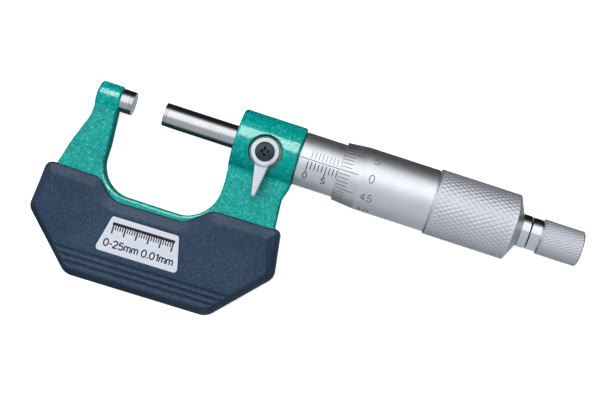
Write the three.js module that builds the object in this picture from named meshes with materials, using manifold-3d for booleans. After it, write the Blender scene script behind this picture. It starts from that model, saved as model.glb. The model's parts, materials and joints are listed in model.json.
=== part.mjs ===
// Outside micrometer, 0-25 mm, 0.01 mm, with a ratchet stop and a lever spindle clamp.
// Units are millimetres. The origin is the centre of the anvil's measuring face.
// +X runs along the spindle axis towards the ratchet, +Y is in the plane of the frame and
// points from the bow to the axis, and +Z is up and out of the front face, the side that
// carries the graduations, the clamp lever and the nameplate.
// The spindle stands at a reading of 8.50 mm.

import * as THREE from 'three';
import { mergeVertices } from 'three/addons/utils/BufferGeometryUtils.js';
import Module from 'manifold-3d';

// ---------------------------------------------------------------- driving dimensions

const READING = 8.5;            // gap between the measuring faces
const SPINDLE_R = 3.175;        // spindle and anvil, diameter 6.35
const TIP = 1.0;                // thickness of each carbide tip
const BRAZE = 0.03;             // joint line behind a carbide tip

const FRAME_HALF = 3.1;         // half thickness of the frame
const FRAME_EDGE = 0.8;         // chamfer round the frame
const BOSS_X0 = 28.8;           // barrel boss, left end
const BOSS_X1 = 46.1;           // barrel boss, right end
const BOSS_R = 8.1;
const ANVIL_BOSS_R = 3.56;      // barrel round the anvil, at the top of the left arm
const ANVIL_BOSS_X = [-9.84, -3.48];

const ANVIL_SHANK_R = 2.3;
const ANVIL_SHANK_X = -8.6;
const ANVIL_SEAT_X = -3.42;     // shoulder that seats on the frame

const GUIDE_R = 5.0;            // inner sleeve, the part pressed into the frame
const TUBE_R = 6.0;             // inner sleeve, the part under the graduated sleeve
const TUBE_X1 = 90.0;
const RUN = 0.04;               // running clearance of the spindle in its bearing
const THREAD_R = 3.5;           // spindle thread, pitch 0.5

const SLEEVE_R = 7.25;          // graduated sleeve, diameter 14.5
const SLEEVE_X0 = 46.3;
const SLEEVE_X1 = 82.6;

const THIMBLE_X = 57.4;         // bevelled edge, which reads against the sleeve
const THIMBLE_BORE = 7.37;
const THIMBLE_LIP_R = 7.9;
const THIMBLE_R = 8.5;          // plain band, diameter 17
const KNURL_R = 9.0;            // knurled band, diameter 18
const BEVEL_X = 63.4;
const KNURL_X0 = 83.15;
const KNURL_X1 = 105.4;
const THIMBLE_END = 107.5;
const CAVITY_X = 100.6;         // end of the thimble's bore

const STUD_R = 4.45;            // first ring of the stem
const STUD_X0 = 107.55;
const STUD_X1 = 109.95;
const PIN_R = 2.2;              // pin that the ratchet knob turns on
const KNOB_X0 = 110.2;
const KNOB_STEP = 113.0;
const KNOB_X1 = 124.6;
const KNOB_NECK_R = 4.35;
const KNOB_R = 4.85;            // knurled grip, diameter 9.7

const CLAMP = [37.5, -1.5];     // axis of the clamp, parallel to Z
const SPOT_Z = 6.0;             // spot face under the lever
const SPOT_R = 4.5;
const LEVER_Z0 = 6.2;
const LEVER_Z1 = 9.1;
const HUB_R = 3.84;
const ARM_Z0 = 8.1;
const ARM_L = 12.1;             // from the axis to the tip
const ARM_LEAN = 0.5;           // sideways offset of the tip

const COVER_Z = 6.0;            // outer face of each cover
const PART_LINE = 0.15;         // half the gap where the covers meet
const FIT = 0.3;                // room round the frame inside the covers
const COVER_BEVEL = 2.3;        // width of the sloping border
const SCREWS = [[-8.5, -31.5], [40.5, -31.0]];

const N = 40;                   // sides of a turned piece
const N_SMALL = 32;             // sides of a small turned piece

// ---------------------------------------------------------------- solids

const wasm = await Module();
wasm.setup();

function solid(geometry) {
  const g = geometry.clone();
  g.deleteAttribute('normal');
  if (g.attributes.uv) g.deleteAttribute('uv');
  const m = mergeVertices(g, 1e-4);
  return new wasm.Manifold(new wasm.Mesh({
    numProp: 3,
    vertProperties: new Float32Array(m.attributes.position.array),
    triVerts: new Uint32Array(m.index.array),
  }));
}

function geometryOf(manifold) {
  const mesh = manifold.getMesh();
  const g = new THREE.BufferGeometry();
  g.setAttribute('position', new THREE.BufferAttribute(new Float32Array(mesh.vertProperties), 3));
  g.setIndex(Array.from(mesh.triVerts));
  g.computeVertexNormals();
  return g;
}

const cut = (body, ...tools) => geometryOf(tools.reduce((a, t) => a.subtract(solid(t)), solid(body)));
const join = (body, ...tools) => geometryOf(tools.reduce((a, t) => a.add(solid(t)), solid(body)));

// A turned piece about the X axis, from [x, r] pairs that run from small to large x along
// the outside and back along the bore, or that start and end on the axis.
function turned(profile, sides = N) {
  const points = profile.map(([x, r]) => new THREE.Vector2(r, x));
  if (profile[0][1] > 0) points.push(points[0].clone());
  const g = new THREE.LatheGeometry(points, sides);
  g.rotateZ(-Math.PI / 2);
  return g;
}

// The same about an axis parallel to Z, from [r, z] pairs.
function turnedZ(profile, [x, y], sides = 32) {
  const points = profile.map(([r, z]) => new THREE.Vector2(r, z));
  if (profile[0][0] > 0) points.push(points[0].clone());
  const g = new THREE.LatheGeometry(points, sides);
  g.rotateX(Math.PI / 2);
  g.translate(x, y, 0);
  return g;
}

const boreX = (r, x0, x1, sides = N) => turned([[x0, 0], [x0, r], [x1, r], [x1, 0]], sides);
const boreZ = (r, z0, z1, at, sides = 32) => turnedZ([[0, z0], [r, z0], [r, z1], [0, z1]], at, sides);

function box(x0, x1, y0, y1, z0, z1) {
  const g = new THREE.BoxGeometry(x1 - x0, y1 - y0, z1 - z0);
  g.translate((x0 + x1) / 2, (y0 + y1) / 2, (z0 + z1) / 2);
  return g;
}

// ---------------------------------------------------------------- outlines

// Corners are [x, y, radius, arc steps], anticlockwise. offset() moves every side by d
// (inwards is positive) and keeps the arcs concentric.
function offset(corners, d) {
  const n = corners.length;
  return corners.map((c, i) => {
    const p = new THREE.Vector2(...corners[(i + n - 1) % n]);
    const q = new THREE.Vector2(c[0], c[1]);
    const r = new THREE.Vector2(...corners[(i + 1) % n]);
    const a = q.clone().sub(p).normalize();
    const b = r.clone().sub(q).normalize();
    const na = new THREE.Vector2(-a.y, a.x);
    const nb = new THREE.Vector2(-b.y, b.x);
    const m = na.clone().add(nb).multiplyScalar(1 / (1 + na.dot(nb)));
    const turn = a.cross(b);
    const radius = turn > 0 ? Math.max(c[2] - d, 0.25) : Math.max(c[2] + d, 0.25);
    return [q.x + m.x * d, q.y + m.y * d, c[2] > 0 ? radius : 0, c[3]];
  });
}

// The points of an outline with each corner rounded by an arc.
function outline(corners) {
  const n = corners.length;
  const out = [];
  corners.forEach((c, i) => {
    const p = new THREE.Vector2(...corners[(i + n - 1) % n]);
    const q = new THREE.Vector2(c[0], c[1]);
    const r = new THREE.Vector2(...corners[(i + 1) % n]);
    const u = p.sub(q).normalize();
    const v = r.sub(q).normalize();
    const half = Math.acos(THREE.MathUtils.clamp(u.dot(v), -1, 1)) / 2;
    const steps = c[3] ?? 4;
    if (!c[2]) { out.push(q); return; }
    const t = c[2] / Math.tan(half);
    const start = q.clone().addScaledVector(u, t);
    const end = q.clone().addScaledVector(v, t);
    const centre = q.clone().addScaledVector(u.clone().add(v).normalize(), c[2] / Math.sin(half));
    const a0 = Math.atan2(start.y - centre.y, start.x - centre.x);
    let a1 = Math.atan2(end.y - centre.y, end.x - centre.x);
    while (a1 - a0 > Math.PI) a1 -= 2 * Math.PI;
    while (a1 - a0 < -Math.PI) a1 += 2 * Math.PI;
    for (let k = 0; k <= steps; k++) {
      const a = a0 + (a1 - a0) * k / steps;
      out.push(new THREE.Vector2(centre.x + c[2] * Math.cos(a), centre.y + c[2] * Math.sin(a)));
    }
  });
  return out;
}

// A closed skin through rings of equal point count, lowest first, capped at both ends.
// Each ring is { points, z }, where z is a number or one number for each point.
function loft(rings) {
  const n = rings[0].points.length;
  const pos = [];
  for (const ring of rings) {
    ring.points.forEach((p, i) => pos.push(p.x, p.y, Array.isArray(ring.z) ? ring.z[i] : ring.z));
  }
  const index = [];
  for (let k = 0; k + 1 < rings.length; k++) {
    for (let i = 0; i < n; i++) {
      const a = k * n + i, b = k * n + (i + 1) % n, c = a + n, d = b + n;
      index.push(a, b, d, a, d, c);
    }
  }
  const top = (rings.length - 1) * n;
  for (const [a, b, c] of THREE.ShapeUtils.triangulateShape(rings[0].points, [])) index.push(a, c, b);
  for (const [a, b, c] of THREE.ShapeUtils.triangulateShape(rings.at(-1).points, [])) index.push(top + a, top + b, top + c);
  const g = new THREE.BufferGeometry();
  g.setAttribute('position', new THREE.Float32BufferAttribute(pos, 3));
  g.setIndex(index);
  g.computeVertexNormals();
  return g;
}

const prism = (corners, z0, z1) => loft([{ points: outline(corners), z: z0 }, { points: outline(corners), z: z1 }]);

// The frame: the anvil arm on the left, the bow, the arm under the boss, and the throat.
const FRAME = [
  [-3.6, 0.6, 0], [-9.74, 0.6, 0], [-9.65, -6.0, 8, 3], [-12.6, -14.4, 16, 3],
  [-15.3, -25.0, 6, 3], [-15.3, -33.3, 3, 3], [-2.6, -45.8, 3, 3], [34.4, -45.5, 3, 3],
  [46.9, -32.7, 3, 3], [45.8, -20.5, 8, 3], [45.0, -12.1, 4, 3], [46.0, -8.9, 2, 2],
  [46.0, -5.4, 0], [28.95, -5.4, 0], [28.95, -7.5, 2, 2], [29.35, -12.0, 12, 2],
  [29.3, -24.2, 9.7, 9], [-2.55, -24.2, 8.6, 8], [-2.7, -12.0, 20, 2], [-3.55, -2.5, 8, 2],
];

// The covers. The last number is the height at which the sloping border starts: it is high
// along the edge that lies on the frame, and lower round the sides and the bottom.
const COVER = [
  [-2.2, -21.05, 4.0, 5, 4.2], [-16.85, -21.05, 2.4, 5, 3.7], [-17.95, -34.2, 3.2, 5, 3.0],
  [-3.5, -48.4, 4.5, 5, 3.0], [35.75, -47.67, 4.5, 5, 3.0], [49.6, -32.5, 3.2, 5, 3.0],
  [47.5, -20.0, 2.0, 5, 3.7], [28.9, -20.3, 4.5, 5, 4.2], [22.6, -25.6, 6.0, 5, 4.2],
  [3.0, -25.95, 6.0, 5, 4.2],
];

// The nameplate, a trapezium with small round corners.
const PLATE = [[22.8, -29.4, 0.8, 4], [4.6, -29.75, 0.8, 4], [2.5, -39.4, 1.0, 4], [25.35, -39.0, 1.0, 4]];

// ---------------------------------------------------------------- materials

const paint = (c) => new THREE.MeshStandardMaterial({ color: c, roughness: 0.38, metalness: 0.25 });
const chrome = () => new THREE.MeshStandardMaterial({ color: 0xb9bcbf, roughness: 0.34, metalness: 1 });
const steel = () => new THREE.MeshStandardMaterial({ color: 0xa9adb1, roughness: 0.2, metalness: 1 });
const carbide = () => new THREE.MeshStandardMaterial({ color: 0x8d9095, roughness: 0.12, metalness: 1 });
const black = () => new THREE.MeshStandardMaterial({ color: 0x1c1d1f, roughness: 0.5, metalness: 0.8 });
const brass = () => new THREE.MeshStandardMaterial({ color: 0xb8964a, roughness: 0.35, metalness: 1 });
const plastic = () => new THREE.MeshStandardMaterial({ color: 0x38475d, roughness: 0.55, metalness: 0 });
const label = () => new THREE.MeshStandardMaterial({ color: 0xd7dae8, roughness: 0.4, metalness: 0.2 });

const micrometer = new THREE.Group();
const fixed = new THREE.Group();
const turning = new THREE.Group();     // turns and travels with the spindle
const clamp = new THREE.Group();
micrometer.add(fixed, turning, clamp);

function node(group, name, geometry, material) {
  const mesh = new THREE.Mesh(geometry, material);
  mesh.name = name;
  group.add(mesh);
  return mesh;
}

// ---------------------------------------------------------------- frame and anvil

{
  const rings = [
    { points: outline(offset(FRAME, FRAME_EDGE)), z: -FRAME_HALF },
    { points: outline(FRAME), z: -FRAME_HALF + FRAME_EDGE },
    { points: outline(FRAME), z: FRAME_HALF - FRAME_EDGE },
    { points: outline(offset(FRAME, FRAME_EDGE)), z: FRAME_HALF },
  ];
  const boss = turned([
    [BOSS_X0, 0], [BOSS_X0, BOSS_R - 0.9], [BOSS_X0 + 0.3, BOSS_R - 0.3], [BOSS_X0 + 0.9, BOSS_R],
    [BOSS_X1 - 0.5, BOSS_R], [BOSS_X1, BOSS_R - 0.5], [BOSS_X1, 0],
  ]);
  const [a0, a1] = ANVIL_BOSS_X;
  const anvilBoss = turned([
    [a0, 0], [a0, ANVIL_BOSS_R - 1.1], [a0 + 0.35, ANVIL_BOSS_R - 0.35], [a0 + 1.1, ANVIL_BOSS_R],
    [a1 - 0.7, ANVIL_BOSS_R], [a1, ANVIL_BOSS_R - 0.7], [a1, 0],
  ], N_SMALL);
  const blank = join(loft(rings), boss, anvilBoss);
  node(fixed, 'frame', cut(
    blank,
    boreX(3.6, BOSS_X0 - 1, 32),
    boreX(GUIDE_R + 0.05, 31.2, BOSS_X1 + 1),
    boreX(ANVIL_SHANK_R + 0.05, ANVIL_SHANK_X - 0.2, -3, 32),
    boreZ(2.06, 3, 8, CLAMP),
    boreZ(SPOT_R, SPOT_Z, 10, CLAMP, 40),
    ...SCREWS.map((s) => boreZ(2.7, -5, 5, s, 24)),
  ), paint(0x10a08c));
}

node(fixed, 'anvil', turned([
  [ANVIL_SHANK_X, 0], [ANVIL_SHANK_X, ANVIL_SHANK_R], [ANVIL_SEAT_X, ANVIL_SHANK_R],
  [ANVIL_SEAT_X, SPINDLE_R], [-TIP - BRAZE, SPINDLE_R], [-TIP - BRAZE, 0],
], N_SMALL), steel());

node(fixed, 'anvil_carbide_tip', turned([
  [-TIP, 0], [-TIP, SPINDLE_R], [-0.12, SPINDLE_R], [0, SPINDLE_R - 0.12], [0, 0],
]), carbide());

// ---------------------------------------------------------------- sleeve

node(fixed, 'inner_sleeve', cut(
  turned([
    [31.3, SPINDLE_R + RUN], [31.3, GUIDE_R], [46.2, GUIDE_R], [46.2, TUBE_R],
    [TUBE_X1, TUBE_R], [TUBE_X1, THREAD_R + RUN], [78, THREAD_R + RUN], [77.6, 3.95],
    [51.4, 3.95], [51, SPINDLE_R + RUN],
  ]),
  boreZ(2.3, 1, 7, CLAMP, 24),
  ...[90, 210, 330].map((deg) => {
    const slit = box(80, TUBE_X1 + 1, 1, 8, -0.3, 0.3);
    slit.rotateX(THREE.MathUtils.degToRad(deg));
    return slit;
  }),
), steel());

node(fixed, 'sleeve', cut(
  turned([
    [SLEEVE_X0, TUBE_R + 0.03], [SLEEVE_X0, SLEEVE_R - 0.2], [SLEEVE_X0 + 0.2, SLEEVE_R],
    [SLEEVE_X1, SLEEVE_R], [SLEEVE_X1, TUBE_R + 0.03],
  ]),
  boreZ(0.8, -9, -5, [49.6, 0], 16),
), chrome());

{
  const notch = (deg) => {
    const g = box(83.7, 85.7, 6.6, 8, -0.9, 0.9);
    g.rotateX(THREE.MathUtils.degToRad(deg));
    return g;
  };
  node(fixed, 'adjusting_nut', cut(
    turned([[84.0, TUBE_R + 0.03], [84.0, 7.1], [89.3, 7.1], [89.7, 6.7], [89.7, TUBE_R + 0.03]]),
    notch(45), notch(225),
  ), steel());
}

// ---------------------------------------------------------------- spindle and thimble

node(turning, 'spindle_carbide_tip', turned([
  [READING, 0], [READING, SPINDLE_R - 0.12], [READING + 0.12, SPINDLE_R],
  [READING + TIP, SPINDLE_R], [READING + TIP, 0],
]), carbide());

node(turning, 'spindle', turned([
  [READING + TIP + BRAZE, 0], [READING + TIP + BRAZE, SPINDLE_R], [61.0, SPINDLE_R],
  [61.4, THREAD_R], [98.8, THREAD_R], [98.8, 4.6], [101.2, 4.6], [106.9, 3.9],
  [106.9, 2.05], [97.0, 2.05], [97.0, 0],
]), steel());

node(turning, 'thimble', turned([
  [THIMBLE_X, THIMBLE_BORE], [THIMBLE_X, THIMBLE_LIP_R], [BEVEL_X, THIMBLE_R],
  [KNURL_X0 - 0.3, THIMBLE_R], [KNURL_X0 - 0.3, THIMBLE_R - 0.25], [KNURL_X0, THIMBLE_R - 0.25],
  [KNURL_X0, KNURL_R - 0.1], [KNURL_X0 + 0.3, KNURL_R], [KNURL_X1 - 0.2, KNURL_R],
  [KNURL_X1, KNURL_R - 0.2], [THIMBLE_END, 4.5], [THIMBLE_END, 3.9], [101.2, 4.66],
  [CAVITY_X, 4.66], [CAVITY_X, THIMBLE_BORE],
]), chrome());

// ---------------------------------------------------------------- ratchet stop

node(turning, 'ratchet_stud', cut(
  join(
    turned([
      [97.4, 0], [97.4, 2.0], [STUD_X0, 2.0], [STUD_X0, STUD_R - 0.25], [STUD_X0 + 0.25, STUD_R],
      [STUD_X1 - 0.25, STUD_R], [STUD_X1, STUD_R - 0.25], [STUD_X1, PIN_R], [122.3, PIN_R], [122.3, 0],
    ], N_SMALL),
    box(109.5, 115.4, 1.5, 2.85, -0.4, 0.4),
  ),
  boreX(1.1, 117.2, 123, 20),
), chrome());

{
  // the crown slides on the stud's key and carries face teeth on its right side
  const ring = turned([[113.6, 2.26], [113.6, 3.5], [115.2, 3.5], [115.2, 2.26]], N_SMALL);
  const teeth = Array.from({ length: 12 }, (_, k) => {
    const g = box(114.9, 115.45, 2.9, 3.4, -0.3, 0.3);
    g.rotateX((k + 0.5) * Math.PI / 6);
    return g;
  });
  const toothed = join(ring, ...teeth);
  node(turning, 'ratchet_crown', cut(toothed, box(113, 116, 0, 3.15, -0.7, 0.7)), steel());
}

{
  const turns = 2.6, wire = 0.24, coil = 3.22, x0 = 110.3, x1 = 113.25;
  class Helix extends THREE.Curve {
    getPoint(t, target = new THREE.Vector3()) {
      const a = t * turns * 2 * Math.PI;
      return target.set(x0 + (x1 - x0) * t, coil * Math.cos(a), coil * Math.sin(a));
    }
  }
  const section = new THREE.Shape(Array.from({ length: 6 }, (_, k) => new THREE.Vector2(
    wire * Math.cos(k * Math.PI / 3), wire * Math.sin(k * Math.PI / 3))));
  node(turning, 'ratchet_spring', new THREE.ExtrudeGeometry(section, {
    steps: 40, bevelEnabled: false, extrudePath: new Helix(),
  }), steel());
}

{
  const shell = turned([
    [KNOB_X0, 3.72], [KNOB_X0, KNOB_NECK_R - 0.2], [KNOB_X0 + 0.2, KNOB_NECK_R],
    [KNOB_STEP, KNOB_NECK_R], [KNOB_STEP, KNOB_R - 0.35], [KNOB_STEP + 0.35, KNOB_R],
    [KNOB_X1 - 0.5, KNOB_R], [KNOB_X1, KNOB_R - 0.5], [KNOB_X1, 3.05], [122.7, 3.05],
    [122.7, PIN_R + RUN], [116.0, PIN_R + RUN], [116.0, 3.72],
  ], N_SMALL);
  const teeth = Array.from({ length: 12 }, (_, k) => {
    const g = box(115.55, 116.3, 2.9, 3.4, -0.3, 0.3);
    g.rotateX(k * Math.PI / 6);
    return g;
  });
  node(turning, 'ratchet_knob', join(shell, ...teeth), chrome());
}

node(turning, 'ratchet_end_screw', cut(
  turned([
    [117.6, 0], [117.6, 1.05], [122.75, 1.05], [122.75, 2.75], [123.9, 2.75], [124.15, 2.5], [124.15, 0],
  ], 24),
  box(123.4, 125, -3, 3, -0.35, 0.35),
), black());

// ---------------------------------------------------------------- spindle clamp

{
  const [cx, cy] = CLAMP;
  const hub = turnedZ([[0, LEVER_Z0], [HUB_R, LEVER_Z0], [HUB_R, LEVER_Z1 - 0.35], [HUB_R - 0.35, LEVER_Z1], [0, LEVER_Z1]], CLAMP, 40);
  const arm = (inset) => outline([
    [cx + 2.45 - inset, cy - 1.0, 0], [cx - 2.4 + inset, cy - 1.0, 0],
    [cx + ARM_LEAN - 0.72 + inset * 0.6, cy - ARM_L + inset, 0.45, 4],
    [cx + ARM_LEAN + 0.72 - inset * 0.6, cy - ARM_L + inset, 0.45, 4],
  ]);
  const blade = loft([
    { points: arm(0), z: ARM_Z0 }, { points: arm(0), z: LEVER_Z1 - 0.4 }, { points: arm(0.3), z: LEVER_Z1 - 0.05 },
  ]);
  node(clamp, 'clamp_lever', cut(
    join(hub, blade),
    boreZ(1.68, 5, 8.2, CLAMP), boreZ(1.15, 8, 10, CLAMP, 24),
  ), chrome());

  const bar = (w) => box(cx - w, cx + w, cy - 1.3, cy + 1.3, 9.8, 11.5);
  const crossBar = (w) => box(cx - 1.3, cx + 1.3, cy - w, cy + w, 9.8, 11.5);
  node(clamp, 'clamp_lever_screw', cut(
    turnedZ([[0, 5.6], [1.0, 5.6], [1.0, 9.15], [2.6, 9.15], [2.6, 9.85], [2.3, 10.3], [1.5, 10.5], [0, 10.5]], CLAMP, 28),
    bar(0.3), crossBar(0.3),
  ), black());

  node(clamp, 'clamp_stud', turnedZ([
    [0, 4.45], [2.0, 4.45], [2.0, 6.1], [1.62, 6.1], [1.62, 8.12], [1.06, 8.12], [1.06, 5.2], [0, 5.2],
  ], CLAMP), steel());

  node(clamp, 'clamp_shoe', cut(
    turnedZ([[0, 2], [1.7, 2], [1.7, 4.3], [0, 4.3]], CLAMP, 24),
    boreX(SPINDLE_R + 0.1, 34, 41, 96),
  ), brass());
}

// ---------------------------------------------------------------- covers and nameplate

// A cover lies over z > 0. Its border slopes down from the face, and a pocket inside it
// takes the frame.
function cover() {
  const edge = outline(COVER);
  const heights = COVER.flatMap((c) => Array(c[3] + 1).fill(c[4]));
  const face = outline(offset(COVER, COVER_BEVEL));
  return loft([
    { points: edge, z: PART_LINE },
    { points: edge, z: heights },
    { points: face, z: COVER_Z },
  ]);
}
const pocket = () => prism(offset(FRAME, -FIT), -8, FRAME_HALF + FIT);
const GROOVES = [-41.6, -43.2, -44.8];
function groove(y, side) {
  const depth = 0.3;
  const g = box(-30, 60, -0.4, 0.4, -1, 1);
  g.rotateZ(THREE.MathUtils.degToRad(1.1));
  g.translate(0, y, side * (COVER_Z - depth + 1));
  return g;
}

{
  const shell = cut(
    cover(), pocket(), ...GROOVES.map((y) => groove(y, 1)),
    prism(offset(PLATE, -0.15), 5.6, 8),
  );
  const bosses = SCREWS.map((s) => turnedZ([[0, -2], [2.35, -2], [2.35, 5.2], [0, 5.2]], s, 24));
  node(fixed, 'front_cover', cut(
    join(shell, ...bosses), ...SCREWS.map((s) => boreZ(1.06, -3, 3.6, s, 20)),
  ), plastic());

  const rear = geometryOf(solid(cover()).subtract(solid(pocket())).mirror([0, 0, 1]));
  node(fixed, 'rear_cover', cut(
    rear, ...GROOVES.map((y) => groove(y, -1)),
    ...SCREWS.flatMap((s) => [boreZ(1.35, -7, -3, s, 20), turnedZ([[0, -6.3], [3.05, -6.3], [1.35, -4.6], [0, -4.6]], s, 24)]),
  ), plastic());
}

node(fixed, 'nameplate', prism(PLATE, 5.63, 5.97), label());

SCREWS.forEach((s, i) => {
  const [x, y] = s;
  const head = turnedZ([[0, -5.95], [2.55, -5.95], [1.05, -4.45], [1.05, 2.6], [0, 2.6]], s, 24);
  node(fixed, i ? 'cover_screw_right' : 'cover_screw_left', cut(
    head,
    box(x - 1.2, x + 1.2, y - 0.27, y + 0.27, -7, -5.25),
    box(x - 0.27, x + 0.27, y - 1.2, y + 1.2, -7, -5.25),
  ), black());
});

export default micrometer;
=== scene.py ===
import json
import math
import bpy
import numpy as np
from mathutils import Matrix, Vector


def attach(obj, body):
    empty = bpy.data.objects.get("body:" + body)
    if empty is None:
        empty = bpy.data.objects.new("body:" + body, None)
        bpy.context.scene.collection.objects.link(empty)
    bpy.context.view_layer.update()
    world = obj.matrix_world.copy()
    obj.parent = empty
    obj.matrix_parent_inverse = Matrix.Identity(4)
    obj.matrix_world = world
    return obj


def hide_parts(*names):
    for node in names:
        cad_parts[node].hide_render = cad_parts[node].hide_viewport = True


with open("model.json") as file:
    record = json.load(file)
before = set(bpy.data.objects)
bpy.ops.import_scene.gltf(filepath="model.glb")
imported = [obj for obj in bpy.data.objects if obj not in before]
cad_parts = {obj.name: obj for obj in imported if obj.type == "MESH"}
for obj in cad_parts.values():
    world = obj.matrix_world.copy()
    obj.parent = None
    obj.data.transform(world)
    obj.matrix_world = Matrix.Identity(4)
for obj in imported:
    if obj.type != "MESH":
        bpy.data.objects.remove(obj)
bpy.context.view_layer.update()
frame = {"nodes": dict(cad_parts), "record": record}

MM = 0.001
record = frame["record"]

# ------------------------------------------------------------------ sizes, in millimetres
READING = 8.5
SPINDLE_R = 3.175
FRAME_HALF = 3.1
BOSS_X0, BOSS_X1, BOSS_R = 28.8, 46.1, 8.1
ANVIL_BOSS = (-9.84, -3.48, 3.56)
SLEEVE_R, SLEEVE_X0, SLEEVE_X1 = 7.25, 46.3, 82.6
THIMBLE_X, BEVEL_X, KNURL_X0, KNURL_X1, THIMBLE_END = 57.4, 63.4, 83.15, 105.4, 107.5
LIP_R, THIMBLE_R, KNURL_R = 7.9, 8.5, 9.0
CLAMP = (37.5, -1.5)
SPOT_Z, SPOT_R, HUB_R = 6.0, 4.5, 3.84
LEVER_Z0, LEVER_Z1, ARM_Z0, ARM_L, ARM_LEAN = 6.2, 9.1, 8.1, 12.1, 0.5
COVER_Z, PART_LINE = 6.0, 0.15
ZERO_X = 48.9                       # sleeve zero: the thimble edge stands here at a reading of 0
DATUM = math.radians(2.0)           # the datum line, up from the front centre line
SCREWS = [(-8.5, -31.5), (40.5, -31.0)]

FRAME_OUT = [
    (-3.6, 0.6, 0), (-9.74, 0.6, 0), (-9.65, -6.0, 8), (-12.6, -14.4, 16),
    (-15.3, -25.0, 6), (-15.3, -33.3, 3), (-2.6, -45.8, 3), (34.4, -45.5, 3),
    (46.9, -32.7, 3), (45.8, -20.5, 8), (45.0, -12.1, 4), (46.0, -8.9, 2),
    (46.0, -5.4, 0), (28.95, -5.4, 0), (28.95, -7.5, 2), (29.35, -12.0, 12),
    (29.3, -24.2, 9.7), (-2.55, -24.2, 8.6), (-2.7, -12.0, 20), (-3.55, -2.5, 8),
]
COVER_OUT = [
    (-2.2, -21.05, 4.0), (-16.85, -21.05, 2.4), (-17.95, -34.2, 3.2), (-3.5, -48.4, 4.5),
    (35.75, -47.67, 4.5), (49.6, -32.5, 3.2), (47.5, -20.0, 2.0), (28.9, -20.3, 4.5),
    (22.6, -25.6, 6.0), (3.0, -25.95, 6.0),
]
PLATE_OUT = [(22.8, -29.4, 0.8), (4.6, -29.75, 0.8), (2.5, -39.4, 1.0), (25.35, -39.0, 1.0)]


# ------------------------------------------------------------------ outlines and fields
def outline(corners, step=4.0):
    """Points of a closed outline, anticlockwise, each corner (x, y, r) rounded by an arc."""
    out, n = [], len(corners)
    for i, (x, y, r) in enumerate(corners):
        q = np.array([x, y], float)
        u = np.array(corners[i - 1][:2], float) - q
        v = np.array(corners[(i + 1) % n][:2], float) - q
        u, v = u / np.linalg.norm(u), v / np.linalg.norm(v)
        if r <= 0:
            out.append(q)
            continue
        half = math.acos(max(-1, min(1, float(u @ v)))) / 2
        t = r / math.tan(half)
        a, b = q + u * t, q + v * t
        c = q + (u + v) / np.linalg.norm(u + v) * r / math.sin(half)
        a0, a1 = math.atan2(*(a - c)[::-1]), math.atan2(*(b - c)[::-1])
        while a1 - a0 > math.pi:
            a1 -= 2 * math.pi
        while a1 - a0 < -math.pi:
            a1 += 2 * math.pi
        k = max(2, int(abs(math.degrees(a1 - a0)) / step) + 1)
        for s in np.linspace(a0, a1, k + 1):
            out.append(c + r * np.array([math.cos(s), math.sin(s)]))
    return np.array(out)


class Field:
    """Signed distance to a closed outline, negative inside, on a fine grid."""

    def __init__(self, pts, h=0.12, pad=3.0):
        self.h = h
        self.lo = pts.min(0) - pad
        n = np.ceil((pts.max(0) + pad - self.lo) / h).astype(int) + 1
        X, Y = np.meshgrid(self.lo[0] + h * np.arange(n[0]), self.lo[1] + h * np.arange(n[1]), indexing="ij")
        d2 = np.full(X.shape, 1e9)
        inside = np.zeros(X.shape, bool)
        for (ax, ay), (bx, by) in zip(pts, np.roll(pts, -1, 0)):
            ex, ey = bx - ax, by - ay
            t = np.clip(((X - ax) * ex + (Y - ay) * ey) / (ex * ex + ey * ey + 1e-12), 0, 1)
            d2 = np.minimum(d2, (X - ax - t * ex) ** 2 + (Y - ay - t * ey) ** 2)
            if ay != by:
                cross = ((ay > Y) != (by > Y)) & (X < ex * (Y - ay) / (by - ay) + ax)
                inside ^= cross
        self.v = np.where(inside, -1.0, 1.0) * np.sqrt(d2)

    def __call__(self, x, y):
        x, y = np.broadcast_arrays(x, y)
        fx = np.clip((x - self.lo[0]) / self.h, 0, self.v.shape[0] - 1.001)
        fy = np.clip((y - self.lo[1]) / self.h, 0, self.v.shape[1] - 1.001)
        i, j = fx.astype(int), fy.astype(int)
        fx, fy = fx - i, fy - j
        v = self.v
        return (v[i, j] * (1 - fx) * (1 - fy) + v[i + 1, j] * fx * (1 - fy)
                + v[i, j + 1] * (1 - fx) * fy + v[i + 1, j + 1] * fx * fy)


def smin(a, b, k):
    h = np.clip(0.5 + 0.5 * (b - a) / k, 0, 1)
    return b * (1 - h) + a * h - k * h * (1 - h)


def smax(a, b, k):
    return -smin(-a, -b, k)


def rounded(a, b, r):
    """Where two regions meet, with the outer edge between them rounded to radius r."""
    a, b = a + r, b + r
    return np.minimum(np.maximum(a, b), 0) + np.hypot(np.maximum(a, 0), np.maximum(b, 0)) - r


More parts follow.
